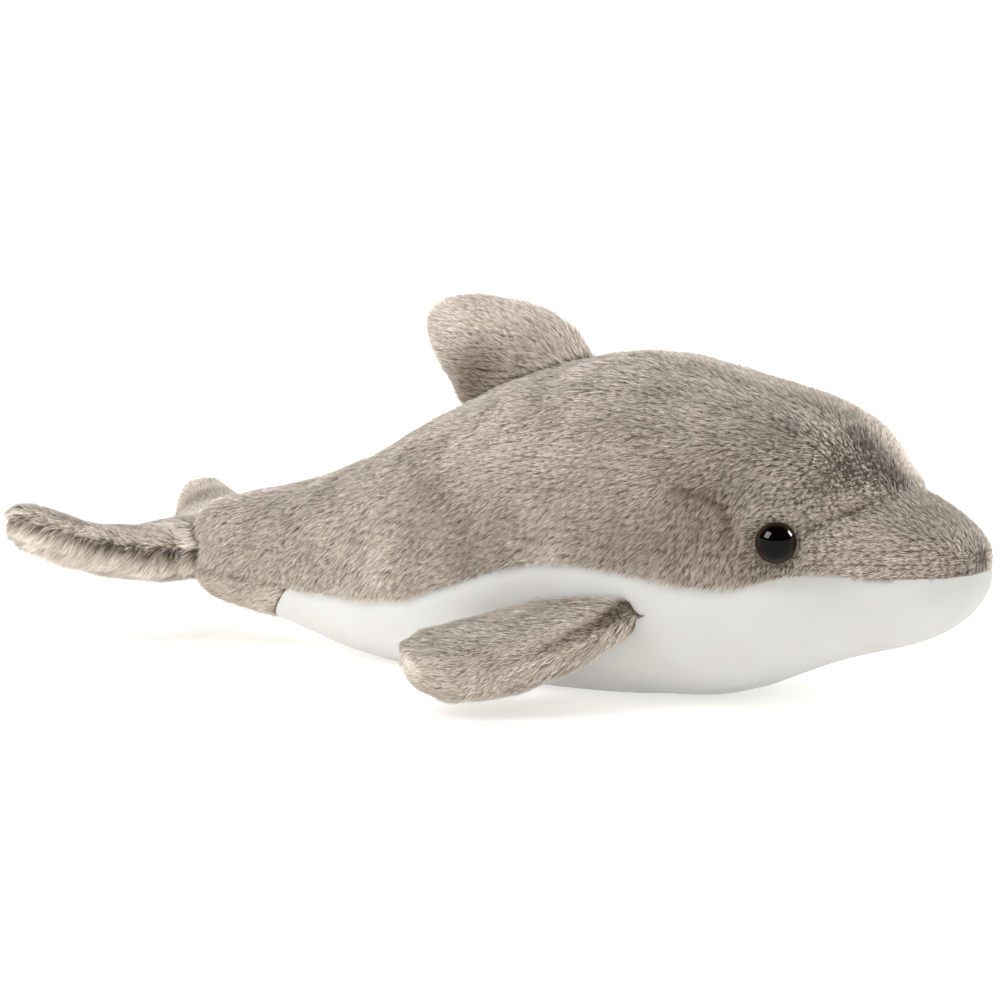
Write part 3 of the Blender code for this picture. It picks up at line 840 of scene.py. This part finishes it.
def cut_panels(form, back_tree):
    """Cut the body's form along its seams: the back, the white plush and the grey piece under the tail."""
    points = positions(form.data)
    to_back, to_white, to_tail = (distances(points, t) for t in (back_tree, tree_of(WHITE), tree_of(TAIL)))
    sides = to_back - np.minimum(to_white, to_tail)
    # The white reaches a little higher, most of all below the eyes
    along = points[:, 0]
    sides += 1.3 * MM - 1.0 * MM * rising(along, 0.068, 0.008)
    sides += 1.0 * MM * hump(along - 0.066, 0.010)
    back = face_part(form, "back_cloth", sides, True)
    under = face_part(form, "underside", sides, False)
    holder = bpy.data.objects.new("underside", under)
    spots = positions(under)
    lower = spots[:, 2] - spots[:, 0] - TAIL_SLANT
    white = face_part(holder, "belly_plush", lower, True)
    tail = face_part(holder, "tail_cloth", lower, False)
    bpy.data.objects.remove(holder)
    return back, white, tail


def sink_panels(back, white, tail, back_tree):
    """Sink the cloth below the tips of its pile, and pull it in along the seam and the fold."""
    spots = positions(white)
    dip = 1.3 * MM * hump(distances(spots, back_tree), SEAM_DIP)
    chin = rising(spots[:, 0], 0.080, 0.018)
    sink(white, PLUSH_DEPTH + dip * (1.0 - 0.6 * chin) - 0.4 * MM * chin)
    spots = positions(back)
    gap, _ = from_line(spots, FOLD)
    beak_tip = rising(spots[:, 0], 0.088, 0.012)
    sink(back, PILE_DEPTH * (1.0 + 0.1 * beak_tip) + 1.3 * MM * hump(gap, SEAM_DIP)
         * np.clip(np.abs(spots[:, 1]) / (9.0 * MM), 0.15, 1.0))
    sink(tail, PILE_DEPTH)


def lay_back_pile(back, rng, eyes):
    """Pile of the back, one mesh for each of its zones."""
    in_pads = depth_inside(positions(back), pads_tree)
    for number, (side, stretch, low, high) in enumerate(BACK_ZONES):
        sign = 1.0 if side == "left" else -1.0

        def own_zone(mesh, corners):
            middle = positions(mesh)[corners].mean(axis=1)
            return (middle[:, 1] * sign > 0.0) & (middle[:, 0] > low * MM) & (middle[:, 0] <= high * MM)
        roots, normals, covered = root_places(back, BODY_DENSITY, rng, own_zone, [in_pads])
        nap = body_nap(roots)
        keep = clear_of_eyes(roots, nap[0], nap[1], eyes) & (covered < BODY_COVER)
        lay_fibres("back_pile_" + side + "_" + stretch, roots[keep], normals[keep],
                   [part[keep] for part in nap], 51 + number)


def lay_tail_pile(tail, rng, back_tree):
    """Pile under the tail, combed back: shorter and steeper at its front edge, darker along its seam."""
    spots = positions(tail)
    roots, normals, covered, seam_gap = root_places(
        tail, TAIL_DENSITY, rng, None, [depth_inside(spots, pads_tree), distances(spots, back_tree)])
    seam = hump(seam_gap, SEAM_DIP)
    front = 1.0 - rising(TAIL_SLANT + roots[:, 0] - roots[:, 2], 0.0, -3.0 * MM)
    ones = np.ones(len(roots))
    comb = np.column_stack((-0.85 * ones, 0.0 * ones, -0.35 * ones))
    nap = (comb, (3.8 - 1.2 * front) * MM, 22.0 + 12.0 * front,
           1.02 + 0.1 * front - 0.25 * seam, 0.70 + 0.3 * seam)
    keep = covered < BODY_COVER
    lay_fibres("tail_underside_pile", roots[keep], normals[keep], [part[keep] for part in nap], 23,
               width=TAIL_BLADE_WIDTH)


def dress_body(eyes):
    """Backing cloth and pile of the body, its white plush and the grey piece under the tail."""
    form = stuffed_form("body_form", BODY + ("body_stuffing", "eye_washer_left", "eye_washer_right"),
                        BODY_VOXEL, (BACK, WHITE + TAIL), SWELLING)
    back_tree = tree_of(BACK)
    back, white, tail = cut_panels(form, back_tree)
    bpy.data.objects.remove(form)
    sink_panels(back, white, tail, back_tree)
    rng = np.random.default_rng(11)
    lay_back_pile(back, rng, eyes)
    lay_tail_pile(tail, rng, back_tree)
    cloth_piece("back_cloth", back, finishes["backing"], "grey_fur", BACK + ("body_stuffing",))
    cloth_piece("belly_plush", white, finishes["plush"], "white_plush", WHITE)
    cloth_piece("tail_underside_cloth", tail, finishes["backing"], "grey_fur", TAIL)


def fin_nap(roots, seam):
    """Nap of the dorsal fin: up and to the rear, dark at its base as painted shade where it meets the body,
    dark behind, and pale above.
    """
    x, _, z = roots.T
    ones = np.ones(len(roots))
    rearward = rising(x, -0.030, -0.030)
    comb = np.column_stack((-0.75 - 0.15 * rearward, 0.0 * ones, 0.66 - 0.45 * rearward))
    forward = rising(x, -0.036, 0.014)
    base = hump(np.clip(z - 0.087 - 0.36 * (x + 0.046), 0.0, 1.0), 0.014) * (1.0 - 0.85 * forward)
    hind = near(roots, (-0.053, 0.0, 0.087), (0.009, None, 0.011))
    peak = near(roots, (-0.069, 0.0, 0.103), (0.009, None, 0.010))
    tone = 1.30 - 0.40 * base + 0.14 * forward - 0.44 * hind - 0.16 * peak
    return [comb, 3.1 * MM * ones, 22.0 + 14.0 * seam, tone, 0.60 + 0.4 * base - 0.3 * seam]


def flukes_nap(roots, normals, seam, seam_gap):
    """Nap of the flukes: out to the tips, parting along the edge seam and hanging below the right lobe."""
    _, y, _ = roots.T
    ones = np.ones(len(roots))
    upper = np.sign(normals[:, 2])
    across = np.where(y < 0.0, -1.0, 1.0)
    tipward = rising(np.abs(y + 0.002), 0.0, 0.065)
    # Near the root the crease sinks below the seam
    over = seam_gap * upper + 1.4 * MM * (1.0 - tipward)
    crease = hump(over, 1.5 * MM) * (1.1 - 0.6 * tipward)
    hang = np.where(upper < 0.0, 1.0, 0.0) * (y < 0.0)
    comb = np.column_stack((-0.55 * ones, across * 0.85 * (1.0 - 0.4 * hang),
                            -0.55 * hang + 0.5 * np.clip(over / MM, -1.0, 1.0) * seam))
    hollow = near(roots, (-0.181, 0.034, 0.037), (0.010, 0.009, None))
    joint = near(roots, (-0.153, -0.010, 0.037), (0.010, 0.014, 0.011))
    # The right lobe's pile is paler than the left's; on the face that looks forward and to the right,
    # towards the camera, it is drawn paler still, as painted light
    facing = rising(normals @ np.array((0.50, -0.86, 0.14)), -0.1, 0.4)
    # Painted shade darkens the edge crease, the hollow of the left lobe and the underside of the right lobe
    # near its root; painted light brightens the root against the shade of the stock
    tone = (np.where(y < 0.0, 1.20 + 0.28 * facing, 1.04) - 0.18 * hang * (1.0 - tipward) + 0.30 * joint
            - 0.14 * rising(np.abs(y), 0.052, 0.012) - 0.55 * crease - 0.50 * hollow)
    return [comb, (3.3 + 2.0 * hang) * MM * ones, 22.0 + 6.0 * seam + 15.0 * hollow, tone,
            0.45 + 0.5 * crease + 0.25 * hang + 0.3 * hollow]


def flipper_nap(roots, normals, seam_gap, across):
    """Nap of a flipper: back and out to its tip, parting along a crease on its upper side."""
    _, y, _ = roots.T
    ones = np.ones(len(roots))
    upper = np.sign(normals[:, 2])
    tipward = rising(np.abs(y), 0.050, 0.026)
    # The crease runs a little above the seam
    over = seam_gap * upper - 2.2 * MM
    crease = hump(over, 1.5 * MM) * (1.0 - tipward)
    comb = np.column_stack((-0.79 * ones, across * 0.60 * ones,
                            -0.22 + 0.85 * np.clip(over / MM, -1.0, 1.0) * crease))
    # The crease is drawn dark: painted shade
    tone = 1.20 - 0.12 * tipward - 0.72 * crease + 0.10 * (upper < 0.0)
    return [comb, (3.3 - 1.0 * tipward) * MM, 22.0 + 8.0 * crease, tone,
            0.70 + 0.3 * crease - 0.2 * tipward]


def pad_nap(name, roots, normals, seam_gap):
    """Nap of a sewn pad, from its root to its tip."""
    seam = hump(seam_gap, 1.9 * MM)
    if name == "dorsal_fin":
        return fin_nap(roots, seam)
    if name == "flukes":
        return flukes_nap(roots, normals, seam, seam_gap)
    return flipper_nap(roots, normals, seam_gap, -1.0 if name == "right_flipper" else 1.0)


def dress_pads():
    """Pile and backing cloth of each pad; the flukes' locks lean together more than the others' do."""
    for number, (name, sides) in enumerate(PADS):
        form, roots, normals, gap = pads[name]
        lay_fibres(name + "_pile", roots, normals, pad_nap(name, roots, normals, gap), 31 + number,
                   clump=0.8 if name == "flukes" else 0.62)
        form.data.shade_smooth()
        form.data.materials.clear()
        form.data.materials.append(finishes["backing"])
        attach(form, "root")
        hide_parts(*[name + "_" + s for s in sides], name + "_stuffing")


def shape_pad(name, mesh):
    """Bring a pad's cloth to where its fur ends as the photograph shows it."""
    points = positions(mesh)
    if name == "flukes":
        # The root rises to the stock
        rise = near(points, (-0.158, -0.002, 0.0), (0.013, 0.020, None))
        points[:, 2] += 3.0 * MM * rise * (point_normals(mesh)[:, 2] > 0.0)
    elif "flipper" in name:
        # The root, the upper side and the tip draw in, as the fur reaches on from there
        along, aside = points[:, 0].copy(), np.abs(points[:, 1])
        inward = -1.0 if points[:, 1].mean() > 0.0 else 1.0
        points[:, 0] -= 2.4 * MM * (rising(aside, 0.058, -0.012) * rising(along, 0.004, 0.012))
        points[:, 2] -= 1.7 * MM * np.clip(point_normals(mesh)[:, 2], 0.0, 1.0)
        tipward = rising(aside, 0.055, 0.030)
        points += np.outer(tipward, (0.79, 0.60 * inward, 0.22)) * 3.2 * MM
        draw_in(points, mesh, 12, 0.4 * MM)
    else:
        # The fin's front corner draws in
        front = near(points, (-0.024, 0.0, 0.104), (0.009, None, 0.009))
        points += np.outer(front, (-0.55, 0.0, -0.83)) * 1.7 * MM
    place_points(mesh, points)


def make_pads():
    """Form each pad, push its root into the body, and find the places of its fibres."""
    body_tree = tree_of(BODY)
    made, everything = {}, bmesh.new()
    for number, (name, sides) in enumerate(PADS):
        nodes = [name + "_" + side for side in sides]
        form = stuffed_form(name + "_cloth", nodes + [name + "_stuffing"], PAD_VOXEL,
                            (nodes[:1], nodes[1:]), SWELLING)
        mesh = form.data
        shape_pad(name, mesh)
        first, second = tree_of(nodes[:1]), tree_of(nodes[1:])
        points = positions(mesh)
        gap = np.abs(distances(points, first) - distances(points, second))
        everything.from_mesh(mesh)
        to_body = distances(points, body_tree)
        dip = 0.0 if name == "dorsal_fin" else 0.6 * MM
        sink(mesh, PAD_PILE_DEPTH + dip * hump(gap, SEAM_DIP))
        # The root is pushed in under the body's skin
        inward = 1.0 - rising(to_body, 1.0 * MM, 2.0 * MM)
        middle = points[to_body < 1.5 * MM].mean(axis=0)
        far = points.mean(axis=0) if name != "flukes" else np.array((-0.185, 0.0, middle[2]))
        push = (middle - far) / np.linalg.norm(middle - far)
        place_points(mesh, positions(mesh) + push * (inward * 6.0 * MM)[:, None])
        covered = depth_inside(positions(mesh), body_tree)
        rng = np.random.default_rng(41 + number)
        roots, normals, covered, gap = root_places(mesh, PAD_DENSITY, rng, None, [covered, gap])
        keep = covered < PAD_COVER
        made[name] = (form, roots[keep], normals[keep], gap[keep])
    found = BVHTree.FromBMesh(everything)
    everything.free()
    return made, found


def main():
    look = make_camera()
    make_studio(look)
    eyes = {side: eye_place("eye_" + side) for side in ("right", "left")}
    dress_body(eyes)
    for side in ("right", "left"):
        make_eye(side, eyes[side])
        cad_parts["eye_washer_" + side].data.materials.clear()
        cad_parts["eye_washer_" + side].data.materials.append(finishes["washer"])
    dress_pads()


finishes = {
    "pile": pile_finish("grey_acrylic_pile", FUR_STOPS),
    "backing": backing_finish(),
    "plush": plush_finish(),
    "eye": eye_finish(),
    "washer": washer_finish(),
}
pads, pads_tree = make_pads()
main()
